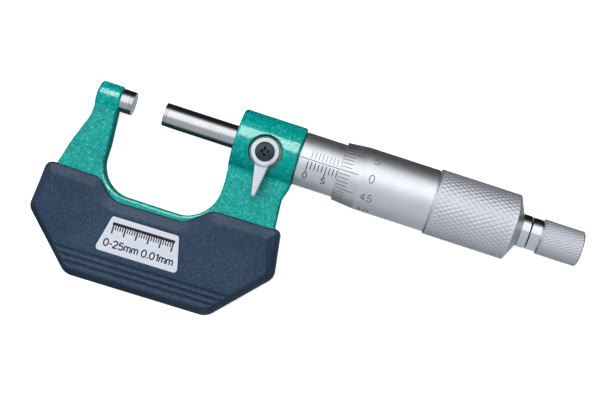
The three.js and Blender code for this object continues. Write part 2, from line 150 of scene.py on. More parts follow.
def nets(f, lo, hi, h, rounds=4):
    """A closed quad mesh on f = 0: surface nets on a grid, then each vertex moved onto the surface."""
    h = np.broadcast_to(np.array(h, float), 3)
    axes = [np.arange(a, b + s, s) for a, b, s in zip(lo, hi, h)]
    X, Y, Z = np.meshgrid(*axes, indexing="ij", sparse=True)
    F = np.asarray(f(X, Y, Z), float)
    F = np.broadcast_to(F, [len(a) for a in axes]).copy()
    F[np.abs(F) < 1e-7] = 1e-7
    inside = F < 0
    count = np.zeros([s - 1 for s in F.shape], np.uint8)
    sl = lambda o, n: slice(o, n - 1 + o)
    nx, ny, nz = F.shape
    for a in (0, 1):
        for b in (0, 1):
            for c in (0, 1):
                count += inside[sl(a, nx), sl(b, ny), sl(c, nz)]
    active = (count > 0) & (count < 8)
    cells = np.argwhere(active)
    index = np.full(active.shape, -1, np.int64)
    index[active] = np.arange(len(cells))
    total, hits = np.zeros((len(cells), 3)), np.zeros(len(cells))
    corners = [(a, b, c) for a in (0, 1) for b in (0, 1) for c in (0, 1)]
    for p in corners:
        for ax in range(3):
            if p[ax]:
                continue
            q = list(p)
            q[ax] = 1
            A = F[tuple((cells + p).T)]
            B = F[tuple((cells + q).T)]
            cross = (A < 0) != (B < 0)
            t = np.where(cross, A / np.where(cross, A - B, 1), 0)
            pos = np.tile(np.array(p, float), (len(cells), 1))
            pos[:, ax] += t
            total += pos * cross[:, None]
            hits += cross
    V = (cells + total / hits[:, None]) * h + np.array([a[0] for a in axes])
    faces = []
    for ax in range(3):
        o1, o2 = (ax + 1) % 3, (ax + 2) % 3
        n = list(F.shape)
        lo_s = [slice(0, n[0]), slice(0, n[1]), slice(0, n[2])]
        a_s, b_s = list(lo_s), list(lo_s)
        a_s[ax], b_s[ax] = slice(0, n[ax] - 1), slice(1, n[ax])
        change = inside[tuple(a_s)] != inside[tuple(b_s)]
        e = np.argwhere(change)
        e = e[(e[:, o1] > 0) & (e[:, o2] > 0) & (e[:, o1] < n[o1] - 1) & (e[:, o2] < n[o2] - 1)]
        d1, d2 = np.eye(3, dtype=int)[o1], np.eye(3, dtype=int)[o2]
        quad = np.stack([index[tuple((e - d1 - d2).T)], index[tuple((e - d2).T)],
                         index[tuple(e.T)], index[tuple((e - d1).T)]], 1)
        flip = ~inside[tuple(e.T)]
        quad[flip] = quad[flip][:, ::-1]
        faces.append(quad)
    faces = np.concatenate(faces)
    eps = 0.02
    for _ in range(rounds):
        x, y, z = V.T
        v0 = f(x, y, z)
        g = np.stack([f(x + eps, y, z) - f(x - eps, y, z), f(x, y + eps, z) - f(x, y - eps, z),
                      f(x, y, z + eps) - f(x, y, z - eps)], 1) / (2 * eps)
        step = -(v0 / np.maximum((g * g).sum(1), 0.2))[:, None] * g
        far = np.linalg.norm(step, axis=1)
        step *= np.minimum(1, 0.5 * h.min() / np.maximum(far, 1e-9))[:, None]
        V = V + step
    return V, faces


# ------------------------------------------------------------------ mesh helpers
def make(name, verts, faces, body, slot, *nodes, mat=None, smooth=True):
    mesh = bpy.data.meshes.new(name)
    mesh.from_pydata((np.asarray(verts) * MM).tolist(), [], [list(map(int, f)) for f in faces])
    mesh.validate()
    mesh.update()
    if smooth:
        mesh.polygons.foreach_set("use_smooth", [True] * len(mesh.polygons))
    ob = bpy.data.objects.new(name, mesh)
    bpy.context.scene.collection.objects.link(ob)
    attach(ob, body)
    if nodes:
        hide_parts(*nodes)
    if mat:
        mesh.materials.append(mat)
    return ob


def profile(corners, closed, steps=5):
    """Points along a turned profile. Corners are (x, r, fillet); flat runs get support points."""
    n = len(corners)
    pts = []
    for i, (x, r, f) in enumerate(corners):
        q = np.array([x, r], float)
        if f <= 0 or (not closed and i in (0, n - 1)):
            pts.append(q)
            continue
        u = np.array(corners[i - 1][:2], float) - q
        v = np.array(corners[(i + 1) % n][:2], float) - q
        lu, lv = np.linalg.norm(u), np.linalg.norm(v)
        u, v = u / lu, v / lv
        half = math.acos(max(-1, min(1, float(u @ v)))) / 2
        t = min(f / math.tan(half), 0.49 * lu, 0.49 * lv)
        f = t * math.tan(half)
        a, b = q + u * t, q + v * t
        c = q + (u + v) / np.linalg.norm(u + v) * f / math.sin(half)
        a0, a1 = math.atan2(*(a - c)[::-1]), math.atan2(*(b - c)[::-1])
        while a1 - a0 > math.pi:
            a1 -= 2 * math.pi
        while a1 - a0 < -math.pi:
            a1 += 2 * math.pi
        for s in np.linspace(a0, a1, steps + 1):
            pts.append(c + f * np.array([math.cos(s), math.sin(s)]))
    out = []
    m = len(pts)
    for i in range(m if closed else m - 1):
        a, b = pts[i], pts[(i + 1) % m]
        out.append(a)
        L = np.linalg.norm(b - a)
        if L > 0.3:
            s = min(0.05, L * 0.2) / L
            out += [a + (b - a) * s, b - (b - a) * s]
    if not closed:
        out.append(pts[-1])
    return out


def turn(pts, closed, n=160, axis="x", at=(0, 0)):
    """A body of revolution from profile points (along, r)."""
    verts, rings = [], []
    ang = np.arange(n) * 2 * math.pi / n
    ca, sa = np.cos(ang), np.sin(ang)

    def place(h, a, b):
        return (h, a, b) if axis == "x" else (a + at[0], b + at[1], h)

    for h, r in pts:
        if r < 1e-6:
            rings.append([len(verts)])
            verts.append(place(h, 0, 0))
        else:
            rings.append(list(range(len(verts), len(verts) + n)))
            verts += [place(h, r * ca[k], r * sa[k]) for k in range(n)]
    faces = []
    pairs = list(zip(rings, rings[1:])) + ([(rings[-1], rings[0])] if closed else [])
    for A, B in pairs:
        if len(A) == 1 and len(B) == 1:
            continue
        for k in range(n):
            j = (k + 1) % n
            if len(A) == 1:
                faces.append((A[0], B[j], B[k]))
            elif len(B) == 1:
                faces.append((A[k], A[j], B[0]))
            else:
                faces.append((A[k], A[j], B[j], B[k]))
    faces = [f[::-1] for f in faces] if axis == "x" else [f[::-1] for f in faces]
    V = np.array(verts, float)
    # make every body face out, whatever the sense of its profile
    v = 0.0
    for f in faces:
        for i in range(1, len(f) - 1):
            v += np.dot(V[f[0]], np.cross(V[f[i]], V[f[i + 1]]))
    if v < 0:
        faces = [f[::-1] for f in faces]
    return V, faces


def ribbon(points, width, thick, place, closed=False):
    """A thin closed strip along 2-D points, on a surface given by place(s, t, height)."""
    p = np.array(points, float)
    d = np.gradient(p, axis=0) if not closed else np.roll(p, -1, 0) - np.roll(p, 1, 0)
    d /= np.linalg.norm(d, axis=1)[:, None] + 1e-12
    nrm = np.stack([-d[:, 1], d[:, 0]], 1) * width / 2
    L, R = p + nrm, p - nrm
    verts, faces, n = [], [], len(p)
    for (a, b) in zip(L, R):
        verts += [place(a[0], a[1], thick), place(b[0], b[1], thick), place(b[0], b[1], -thick), place(a[0], a[1], -thick)]
    for i in range(n if closed else n - 1):
        j = (i + 1) % n
        for k in range(4):
            m = (k + 1) % 4
            faces.append((4 * i + k, 4 * j + k, 4 * j + m, 4 * i + m))
    if not closed:
        faces += [(0, 1, 2, 3), (4 * n - 1, 4 * n - 2, 4 * n - 3, 4 * n - 4)]
    return verts, faces


def arc(cx, cy, rx, ry, a0, a1, n=14):
    t = np.radians(np.linspace(a0, a1, n))
    return [(cx + rx * math.cos(a), cy + ry * math.sin(a)) for a in t]


def line(*pts, n=5):
    out = []
    for a, b in zip(pts, pts[1:]):
        for s in np.linspace(0, 1, n)[(1 if out else 0):]:
            out.append((a[0] + (b[0] - a[0]) * s, a[1] + (b[1] - a[1]) * s))
    return out


# Strokes in a box 0.6 wide and 1 high: (points, closed)
GLYPH = {
    "0": [(arc(0.3, 0.5, 0.27, 0.47, 0, 352, 26), True)],
    "1": [(line((0.06, 0.78), (0.28, 0.97), (0.28, 0.03)), False)],
    "2": [(arc(0.3, 0.70, 0.26, 0.27, 165, -30, 14) + line((0.5, 0.55), (0.05, 0.04))[1:], False), (line((0.03, 0.04), (0.57, 0.04)), False)],
    "3": [(arc(0.28, 0.73, 0.25, 0.24, 150, -90, 14), False), (arc(0.28, 0.26, 0.28, 0.24, 90, -150, 14), False)],
    "4": [(line((0.42, 0.03), (0.42, 0.97), (0.03, 0.30), (0.58, 0.30)), False)],
    "5": [(line((0.53, 0.96), (0.12, 0.96), (0.08, 0.54)), False), (arc(0.28, 0.32, 0.28, 0.29, 135, -150, 18), False)],
    "-": [(line((0.04, 0.42), (0.34, 0.42)), False)],
    ".": [(line((0.02, 0.07), (0.19, 0.07)), False)],
    "m": [(line((0.04, 0.02), (0.04, 0.72)), False), (arc(0.22, 0.52, 0.18, 0.19, 175, 0, 8) + line((0.40, 0.52), (0.40, 0.02))[1:], False),
          (arc(0.58, 0.52, 0.18, 0.19, 180, 0, 8) + line((0.76, 0.52), (0.76, 0.02))[1:], False)],
    " ": [],
}
WIDE = {"m": 1.0, "-": 0.52, " ": 0.42, ".": 0.38, "1": 0.56}


def lettering(text, height, weight, centre, place, thick, wide=1.0, tight=0.0):
    """Strokes of a short text centred on a 2-D point. Returns vertices and faces."""
    adv = [(WIDE.get(c, 0.80) - tight) * wide for c in text]
    total = sum(adv) - (0.2 - tight) * wide
    verts, faces, x = [], [], -total / 2
    for c, a in zip(text, adv):
        for pts, closed in GLYPH[c]:
            q = [((x + px * wide) * height, (py - 0.5) * height) for px, py in pts]
            q = [(centre[0] + u, centre[1] + v) for u, v in q]
            v, f = ribbon(q, weight, thick, place, closed)
            faces += [tuple(i + len(verts) for i in g) for g in f]
            verts += v
        x += a
    return verts, faces


# ------------------------------------------------------------------ materials
def new_material(name):
    m = bpy.data.materials.new(name)
    m.use_nodes = True
    nt = m.node_tree
    bsdf = next(n for n in nt.nodes if n.type == "BSDF_PRINCIPLED")
    return m, nt, bsdf


def lin(r, g, b):
    def c(v):
        v /= 255
        return v / 12.92 if v <= 0.04045 else ((v + 0.055) / 1.055) ** 2.4
    return (c(r), c(g), c(b), 1)


def coords(nt, scale=(1, 1, 1)):
    tc = nt.nodes.new("ShaderNodeTexCoord")
    mp = nt.nodes.new("ShaderNodeMapping")
    mp.inputs["Scale"].default_value = scale
    nt.links.new(tc.outputs["Object"], mp.inputs["Vector"])
    return mp.outputs["Vector"]


def noise(nt, vec, scale, detail=2.0, rough=0.5):
    n = nt.nodes.new("ShaderNodeTexNoise")
    n.inputs["Scale"].default_value = scale
    n.inputs["Detail"].default_value = detail
    n.inputs["Roughness"].default_value = rough
    nt.links.new(vec, n.inputs["Vector"])
    return n.outputs["Fac"]


def ramp(nt, fac, stops):
    r = nt.nodes.new("ShaderNodeValToRGB")
    r.color_ramp.elements[0].position = stops[0][0]
    r.color_ramp.elements[0].color = stops[0][1]
    r.color_ramp.elements[1].position = stops[-1][0]
    r.color_ramp.elements[1].color = stops[-1][1]
    for pos, col in stops[1:-1]:
        e = r.color_ramp.elements.new(pos)
        e.color = col
    nt.links.new(fac, r.inputs["Fac"])
    return r.outputs["Color"]


def grey(v):
    return (v, v, v, 1)


def span(nt, fac, lo, hi, a, b):
    m = nt.nodes.new("ShaderNodeMapRange")
    m.inputs["From Min"].default_value = lo
    m.inputs["From Max"].default_value = hi
    m.inputs["To Min"].default_value = a
    m.inputs["To Max"].default_value = b
    nt.links.new(fac, m.inputs["Value"])
    return m.outputs["Result"]


def bump(nt, bsdf, fac, strength, distance, prev=None):
    b = nt.nodes.new("ShaderNodeBump")
    b.inputs["Strength"].default_value = strength
    b.inputs["Distance"].default_value = distance
    nt.links.new(fac, b.inputs["Height"])
    if prev is not None:
        nt.links.new(prev, b.inputs["Normal"])
    nt.links.new(b.outputs["Normal"], bsdf.inputs["Normal"])
    return b.outputs["Normal"]


def paint_material():
    """Metallic enamel: small pale flakes over a deeper teal, with a thin clear skin."""
    m, nt, p = new_material("teal_enamel")
    v = coords(nt)
    fine = noise(nt, v, 2300, 2, 0.6)
    mid = noise(nt, v, 1100, 2, 0.5)
    broad = noise(nt, v, 160, 2, 0.5)
    mix = nt.nodes.new("ShaderNodeMath")
    mix.operation = "MULTIPLY_ADD"
    mix.inputs[1].default_value = 0.55
    nt.links.new(fine, mix.inputs[0])
    s2 = nt.nodes.new("ShaderNodeMath")
    s2.operation = "MULTIPLY"
    s2.inputs[1].default_value = 0.33
    nt.links.new(mid, s2.inputs[0])
    s3 = nt.nodes.new("ShaderNodeMath")
    s3.operation = "MULTIPLY_ADD"
    s3.inputs[1].default_value = 0.12
    nt.links.new(broad, s3.inputs[0])
    nt.links.new(s2.outputs[0], s3.inputs[2])
    nt.links.new(s3.outputs[0], mix.inputs[2])
    col = ramp(nt, mix.outputs[0], [(0.39, lin(0, 127, 118)), (0.46, lin(0, 152, 144)), (0.54, lin(4, 166, 158)), (0.61, lin(64, 186, 178))])
    nt.links.new(col, p.inputs["Base Color"])
    p.inputs["Metallic"].default_value = 0.0
    p.inputs["Specular IOR Level"].default_value = 0.0
    nt.links.new(span(nt, fine, 0.3, 0.7, 0.40, 0.54), p.inputs["Roughness"])
    p.inputs["Coat Weight"].default_value = 0.063
    p.inputs["Coat Roughness"].default_value = 0.15
    p.inputs["Coat IOR"].default_value = 2.0
    n = bump(nt, p, mid, 0.22, 0.00005)
    bump(nt, p, fine, 0.16, 0.00003, n)
    return m


def plastic_material():
    m, nt, p = new_material("slate_plastic")
    v = coords(nt)
    grain = noise(nt, v, 5200, 2, 0.6)
    cloud = noise(nt, v, 90, 3, 0.5)
    mottle = noise(nt, v, 1300, 3, 0.65)
    blend = nt.nodes.new("ShaderNodeMath")
    blend.operation = "MULTIPLY_ADD"
    blend.inputs[1].default_value = 0.35
    nt.links.new(cloud, blend.inputs[0])
    part = nt.nodes.new("ShaderNodeMath")
    part.operation = "MULTIPLY"
    part.inputs[1].default_value = 0.65
    nt.links.new(mottle, part.inputs[0])
    nt.links.new(part.outputs[0], blend.inputs[2])
    col = ramp(nt, blend.outputs[0], [(0.36, lin(28, 48, 69)), (0.5, lin(40, 58, 79)), (0.64, lin(54, 70, 91))])
    nt.links.new(col, p.inputs["Base Color"])
    nt.links.new(span(nt, grain, 0.3, 0.7, 0.42, 0.56), p.inputs["Roughness"])
    p.inputs["Specular IOR Level"].default_value = 0.2
    bump(nt, p, grain, 0.25, 0.00004)
    return m


def metal_material(name, colour, rough, along=3000.0, across=60.0, depth=0.00001, strength=0.3, spread=0.06, metallic=1.0):
    """Metal with fine circumferential marks: detail runs quickly along X and slowly round it."""
    m, nt, p = new_material(name)
    v = coords(nt, (along, across, across))
    marks = noise(nt, v, 1.0, 3, 0.6)
    cloud = noise(nt, coords(nt), 180, 3, 0.55)
    c = np.array(colour[:3])
    col = ramp(nt, cloud, [(0.3, tuple(c * 0.93) + (1,)), (0.7, tuple(np.minimum(c * 1.05, 1)) + (1,))])
    nt.links.new(col, p.inputs["Base Color"])
    p.inputs["Metallic"].default_value = metallic
    nt.links.new(span(nt, marks, 0.3, 0.7, max(0.02, rough - spread), rough + spread), p.inputs["Roughness"])
    bump(nt, p, marks, strength, depth)
    return m


def satin_material(name, colour, rough, metallic=1.0):
    """Satin chrome: an even, very fine frosting."""
    m, nt, p = new_material(name)
    v = coords(nt)
    frost = noise(nt, v, 9000, 2, 0.6)
    cloud = noise(nt, v, 220, 3, 0.55)
    c = np.array(colour[:3])
    col = ramp(nt, cloud, [(0.3, tuple(c * 0.96) + (1,)), (0.7, tuple(np.minimum(c * 1.03, 1)) + (1,))])
    nt.links.new(col, p.inputs["Base Color"])
    p.inputs["Metallic"].default_value = metallic
    nt.links.new(span(nt, frost, 0.3, 0.7, rough - 0.03, rough + 0.05), p.inputs["Roughness"])
    bump(nt, p, frost, 0.2, 0.00001)
    return m


def plate_material():
    m, nt, p = new_material("name_plate")
    v = coords(nt, (60, 2500, 60))
    b = noise(nt, v, 1.0, 3, 0.6)
    col = ramp(nt, b, [(0.3, lin(197, 202, 215)), (0.7, lin(213, 218, 229))])
    nt.links.new(col, p.inputs["Base Color"])
    p.inputs["Metallic"].default_value = 0.15
    nt.links.new(span(nt, b, 0.3, 0.7, 0.35, 0.48), p.inputs["Roughness"])
    bump(nt, p, b, 0.15, 0.00001)
    return m


def ink_material(name, colour, rough=0.5):
    m, nt, p = new_material(name)
    v = coords(nt)
    n = noise(nt, v, 6000, 2, 0.6)
    c = np.array(colour[:3])
    nt.links.new(ramp(nt, n, [(0.3, tuple(c * 0.8) + (1,)), (0.7, tuple(c * 1.25) + (1,))]), p.inputs["Base Color"])
    nt.links.new(span(nt, n, 0.3, 0.7, rough - 0.06, rough + 0.08), p.inputs["Roughness"])
    return m


PAINT = paint_material()
PLASTIC = plastic_material()
SATIN = satin_material("satin_chrome", lin(219, 221, 225), 0.40, 0.94)
SATIN_SLEEVE = satin_material("satin_chrome_sleeve", lin(220, 223, 227), 0.38, 0.93)
SATIN_KNOB = satin_material("satin_chrome_grip", lin(194, 197, 204), 0.40, 0.6)
SATIN_KNURL = satin_material("satin_chrome_knurl", lin(203, 205, 213), 0.44, 0.65)
LEVER = satin_material("lever_chrome", lin(196, 204, 208), 0.26)
BRIGHT = metal_material("bright_chrome", lin(205, 207, 210), 0.09, along=2600, depth=0.000004, strength=0.2, spread=0.03)
GROUND = metal_material("ground_steel", lin(196, 198, 202), 0.10, along=5200, depth=0.000004, strength=0.2, spread=0.035)
CARBIDE = metal_material("lapped_carbide", lin(186, 188, 191), 0.12, along=2500, depth=0.000003, strength=0.2, spread=0.03)
# painted shade: a near-black green for the spot face round the lever hub, standing in for the shadow in the narrow gap
# there
RECESS_SHADE = metal_material("recess_painted_shade", lin(16, 40, 42), 0.5, along=900, across=900, depth=0.00002, strength=0.3, metallic=0.2)
SCREW = metal_material("blued_steel", lin(62, 71, 78), 0.30, along=2500, depth=0.000008, strength=0.25, spread=0.06, metallic=0.85)
BLACK = metal_material("black_oxide", lin(42, 44, 48), 0.36, along=2500, depth=0.000008, strength=0.25, spread=0.06, metallic=0.8)
BRASS = metal_material("machined_brass", lin(196, 160, 88), 0.26, along=2500)
PLATE = plate_material()
INK = ink_material("black_enamel", lin(34, 36, 42))
# grey ink, paler than the black enamel; on the sleeve's half marks the paleness is painted highlight, standing in for
# the sheen that washes them out. The thimble figures use it too.
INK_SHEEN_GREY = ink_material("grey_ink_painted_sheen", lin(104, 107, 114))
PRINT = ink_material("plate_print", lin(20, 20, 26))

# ------------------------------------------------------------------ frame
frame_field = Field(outline(FRAME_OUT))
cover_field = Field(outline(COVER_OUT))
plate_field = Field(outline(PLATE_OUT), h=0.08, pad=1.0)


def cyl_x(x, y, z, x0, x1, r, edge):
    return rounded(np.hypot(y, z) - r, np.abs(x - (x0 + x1) / 2) - (x1 - x0) / 2, edge)


def frame_shape(x, y, z):
    d = rounded(frame_field(x, y), np.abs(z) - FRAME_HALF, 0.75)
    d = smin(d, cyl_x(x, y, z, BOSS_X0, BOSS_X1, BOSS_R, 0.7), 0.7)
    d = smin(d, cyl_x(x, y, z, *ANVIL_BOSS, 0.9), 0.9)
    r = np.hypot(x - CLAMP[0], y - CLAMP[1])
    bore = np.hypot(y, z)
    d = smax(d, -np.maximum(r - SPOT_R, SPOT_Z - z), 0.25)
    d = np.maximum(d, -np.maximum(r - 2.06, 3.0 - z))
    d = smax(d, -np.maximum(bore - 3.6, np.abs(x - 29.6) - 2.4), 0.15)
    d = np.maximum(d, -np.maximum(bore - 5.05, 31.2 - x))
    d = np.maximum(d, -np.maximum(bore - 2.35, np.abs(x + 5.0) - 3.9))
    return d


V, F = nets(frame_shape, (-17, -47.4, -8.7), (47.6, 9.2, 8.7), 0.26)
casting = make("frame_casting", V, F, "frame", "frame_paint", "frame", mat=PAINT)
# the floor and wall of the spot face round the clamp hub get this second, painted-shade material (chosen by the mask
# below), darkening the recess where shade falls
casting.data.materials.append(RECESS_SHADE)
mid = V[F].mean(1)
from_clamp = np.hypot(mid[:, 0] - CLAMP[0], mid[:, 1] - CLAMP[1])
surface = np.sqrt(np.maximum(BOSS_R ** 2 - mid[:, 1] ** 2, 0))
casting.data.polygons.foreach_set("material_index", ((from_clamp < SPOT_R + 0.12) & (mid[:, 2] > 2.5) & (mid[:, 2] < surface - 0.22)).astype(int).tolist())

# ------------------------------------------------------------------ covers
TILT = math.tan(math.radians(1.1))
WAVE = 1.6


def step(t):
    t = np.clip(t, 0, 1)
    return t * t * (3 - 2 * t)


def shell(x, y, z, front):
    d2 = cover_field(x, y)
    top = step((x + 17.4) / 1.2) * step((48.3 - x) / 1.2) * step((y + 31.5) / 4)
    edge = 3.0 + 1.2 * top
    m = (COVER_Z - edge) / (2.0 + 0.9 * top)
    t = (-40.5 - (y - TILT * (x - 17.6))) / WAVE
    face = COVER_Z - np.where((t >= 0) & (t <= 3), 0.26 * (1 - np.cos(2 * math.pi * t)), 0)
    f = smax(z - face, (z - edge + d2 * m) / np.sqrt(1 + m * m), 0.18)
    f = smax(f, d2, 0.9)
    f = np.maximum(f, PART_LINE - z)
    f = np.maximum(f, -np.maximum(frame_field(x, y) - 0.3, z - FRAME_HALF - 0.3))
    if front:
        f = smax(f, -np.maximum(plate_field(x, y) - 0.13, 5.62 - z), 0.08)
    else:
        for sx, sy in SCREWS:
            r = np.hypot(x - sx, y - sy)
            f = np.maximum(f, -np.maximum(r - 1.35, 3.0 - z))
            f = smax(f, -((r - 3.0) + (COVER_Z - z)) / 1.414, 0.08)
    return f


V, F = nets(lambda x, y, z: shell(x, y, z, True), (-19, -49.4, -0.4), (50.6, -19, 6.6), (0.27, 0.17, 0.2))
make("front_cover_shell", V, F, "frame", "cover_plastic", "front_cover", mat=PLASTIC)
V, F = nets(lambda x, y, z: shell(x, y, z, False), (-19, -49.4, -0.4), (50.6, -19, 6.6), (0.27, 0.17, 0.2))
V[:, 2] *= -1
make("rear_cover_shell", V, F[:, ::-1], "frame", "cover_plastic", "rear_cover", mat=PLASTIC)

# nameplate with a rounded rim
V, F = nets(lambda x, y, z: rounded(plate_field(x, y), np.abs(z - 5.8) - 0.17, 0.1), (1.8, -40.2, 5.4), (26.2, -28.7, 6.2), (0.14, 0.14, 0.06), 3)
make("nameplate_blank", V, F, "frame", "nameplate", "nameplate", mat=PLATE)


def on_plate(s, t, h):
    c, sn = math.cos(math.radians(1.0)), math.sin(math.radians(1.0))
    return (13.85 + s * c - t * sn, -34.4 + s * sn + t * c, 5.972 + h)


pv, pf = [], []


def add(v, f):
    pf.extend(tuple(i + len(pv) for i in g) for g in f)
    pv.extend(v)


# a plain scale bar with 26 marks over the range
add(*ribbon(line((-8.5, 3.0), (8.5, 3.0), n=3), 0.75, 0.008, on_plate))
for k in range(26):
    x = -8.125 + 0.65 * k
    h = 2.7 if k % 5 == 0 else 1.6
    add(*ribbon(line((x, 3.0), (x, 3.0 - h), n=2), 0.42 if k % 5 == 0 else 0.30, 0.008, on_plate))
add(*lettering("0-25mm 0.01mm", 1.95, 0.37, (0.0, -2.25), on_plate, 0.008, wide=1.13, tight=0.09))
make("nameplate_print", pv, pf, "frame", None, mat=PRINT, smooth=False)

# ------------------------------------------------------------------ turned pieces
def turned(name, corners, closed, body, slot, node, mat, n=160, steps=5):
    V, F = turn(profile(corners, closed, steps), closed, n)
    return make(name, V, F, body, slot, node, mat=mat)


turned("anvil_pin", [(-8.6, 0, 0), (-8.6, 2.3, 0.1), (-3.42, 2.3, 0), (-3.42, SPINDLE_R, 0.05), (-1.03, SPINDLE_R, 0.04), (-1.03, 0, 0)],
       False, "frame", "ground_steel", "anvil", GROUND)
turned("anvil_tip", [(-1.0, 0, 0), (-1.0, SPINDLE_R, 0.04), (0, SPINDLE_R, 0.16), (0, 0, 0)], False, "frame", "carbide", "anvil_carbide_tip", CARBIDE)
turned("spindle_tip", [(8.5, 0, 0), (8.5, SPINDLE_R, 0.16), (9.5, SPINDLE_R, 0.04), (9.5, 0, 0)], False, "spindle_travel", "carbide", "spindle_carbide_tip", CARBIDE)
turned("spindle_rod", [(9.53, 0, 0), (9.53, SPINDLE_R, 0.04), (61.0, SPINDLE_R, 0), (61.4, 3.5, 0), (98.8, 3.5, 0), (98.8, 4.6, 0), (101.2, 4.6, 0),
                       (106.9, 3.9, 0), (106.9, 2.05, 0), (97.0, 2.05, 0), (97.0, 0, 0)], False, "thimble", "ground_steel", "spindle", GROUND)
turned("sleeve_tube", [(46.3, 6.03, 0), (46.3, SLEEVE_R, 0.18), (82.6, SLEEVE_R, 0.1), (82.6, 6.03, 0)], True, "frame", "satin_chrome", "sleeve", SATIN_SLEEVE, n=192)


def knurl(R, depth, starts, freq, x0, x1, ends, per=8):
    """Rings of a diamond knurl: two crossed sets of V grooves, fading out at both ends."""
    n = starts * per
    count = max(8, int(round((x1 - x0) * freq * per)))
    xs = np.linspace(x0, x1, count + 1)
    th = np.arange(n) * 2 * math.pi / n
    k = np.arange(n) / per
    R_out = []
    for j, x in enumerate(xs):
        a = k + j / per
        b = k - j / per
        ta = 1 - np.abs(2 * (a % 1) - 1)
        tb = 1 - np.abs(2 * (b % 1) - 1)
        hgt = np.minimum(1, 1.22 * np.minimum(ta, tb))
        fade = min(1, (x - x0) / ends + 0.0, (x1 - x) / ends)
        R_out.append(R - depth * (1 - hgt) * step(fade))
    return xs, th, np.array(R_out)


def knurled(name, left, right, kn, body, slot, node, mats):
    """A closed turned body whose outside between left and right profiles is a knurl.
    left and right are profile points from the bore to the knurl and from the knurl to the bore."""
    xs, th, RR = kn
    n = len(th)
    rings = [(x, np.full(n, r)) for x, r in left] + [(x, r) for x, r in zip(xs, RR)] + [(x, np.full(n, r)) for x, r in right]
    verts = np.concatenate([np.stack([np.full(n, x), r * np.cos(th), r * np.sin(th)], 1) for x, r in rings])
    m = len(rings)
    faces = []
    for i in range(m):
        j = (i + 1) % m
        for k in range(n):
            q = (k + 1) % n
            faces.append((i * n + k, j * n + k, j * n + q, i * n + q))
    a = np.array(faces)
    p = verts[a[:, 0]]
    vol = (p * np.cross(verts[a[:, 1]], verts[a[:, 2]])).sum() + (p * np.cross(verts[a[:, 2]], verts[a[:, 3]])).sum()
    if vol < 0:
        a = a[:, ::-1]
    ob = make(name, verts, a, body, slot, node, mat=mats[0])
    if len(mats) > 1:
        ob.data.materials.append(mats[1])
        c = verts[a].mean(1)
        idx = ((c[:, 0] > xs[0]) & (c[:, 0] < xs[-1]) & (np.hypot(c[:, 1], c[:, 2]) > KNURL_R - 1.0)).astype(int)
        ob.data.polygons.foreach_set("material_index", idx.tolist())
    return ob


def split_profile(corners, steps=5):
    return [tuple(p) for p in profile(corners, False, steps)]


left = split_profile([(101.2, 4.66, 0), (100.6, 4.66, 0), (100.6, 7.37, 0.2), (THIMBLE_X, 7.37, 0.05), (THIMBLE_X, LIP_R, 0.08), (BEVEL_X, THIMBLE_R, 3.0),
                      (82.85, THIMBLE_R, 0.05), (82.85, 8.28, 0.05), (83.15, 8.28, 0.03), (83.17, 8.75, 0.05), (83.4, KNURL_R - 0.02, 0.1), (83.5, KNURL_R, 0)])
right = split_profile([(105.2, KNURL_R, 0), (105.42, KNURL_R - 0.1, 0.15), (107.5, 4.5, 0.12), (107.5, 3.9, 0.05), (101.21, 4.66, 0)])[:-1]
thimble_obj = knurled("thimble_body", left, right[1:], knurl(KNURL_R, 0.18, 44, 0.472, 83.55, 105.15, 0.35), "thimble", "satin_chrome", "thimble", [SATIN, SATIN_KNURL])

left = split_profile([(116.0, 2.24, 0), (116.0, 3.72, 0), (110.2, 3.72, 0.05), (110.2, 4.35, 0.18), (112.9, 4.35, 0.12), (113.0, 4.2, 0.05), (113.15, 4.2, 0.03),
                      (113.2, 4.55, 0.08), (113.45, 4.83, 0.15), (113.6, 4.85, 0)])
right = split_profile([(124.15, 4.85, 0), (124.6, 4.4, 0.25), (124.6, 3.05, 0.1), (122.7, 3.05, 0.05), (122.7, 2.24, 0), (116.01, 2.24, 0)])[:-1]
knob = knurled("ratchet_grip", left, right[1:], knurl(4.85, 0.2, 34, 0.64, 113.65, 124.1, 0.3), "ratchet_knob", "polished_chrome", "ratchet_knob", [BRIGHT])
knob.data.materials.append(SATIN_KNOB)
co = np.array([p.center[:] for p in knob.data.polygons]) / MM
knob.data.polygons.foreach_set("material_index", ((co[:, 0] > 113.3) & (np.hypot(co[:, 1], co[:, 2]) > 4.2)).astype(int).tolist())

turned("ratchet_flange", [(97.4, 0, 0), (97.4, 2.0, 0), (107.55, 2.0, 0), (107.55, 4.45, 0.2), (109.95, 4.45, 0.2), (109.95, 2.2, 0), (122.3, 2.2, 0), (122.3, 1.1, 0),
                          (117.2, 1.1, 0), (117.2, 0, 0)], False, "thimble", "polished_chrome", "ratchet_stud", BRIGHT)

# ------------------------------------------------------------------ graduations
def on_sleeve(s, t, h):
    """s along X, t round the sleeve from the datum line towards +Y."""
    r = SLEEVE_R + h
    a = DATUM + t / SLEEVE_R
    return (s, r * math.sin(a), r * math.cos(a))


def thimble_radius(x):
    return LIP_R + (THIMBLE_R - LIP_R) * (x - THIMBLE_X) / (BEVEL_X - THIMBLE_X) if x < BEVEL_X - 0.35 else (
        THIMBLE_R if x > BEVEL_X + 0.35 else np.interp(x, [BEVEL_X - 0.35, BEVEL_X + 0.35], [THIMBLE_R - 0.035 - 0.012, THIMBLE_R]))


def on_thimble(turn_at):
    def place(s, t, h):
        r = thimble_radius(s) + h
        a = DATUM + turn_at + t / THIMBLE_R
        return (s, r * math.sin(a), r * math.cos(a))
    return place


def build_marks(name, parts, body, mat):
    verts, faces = [], []
    for v, f in parts:
        faces += [tuple(i + len(verts) for i in g) for g in f]
        verts += v
    return make(name, verts, faces, body, None, mat=mat, smooth=False)


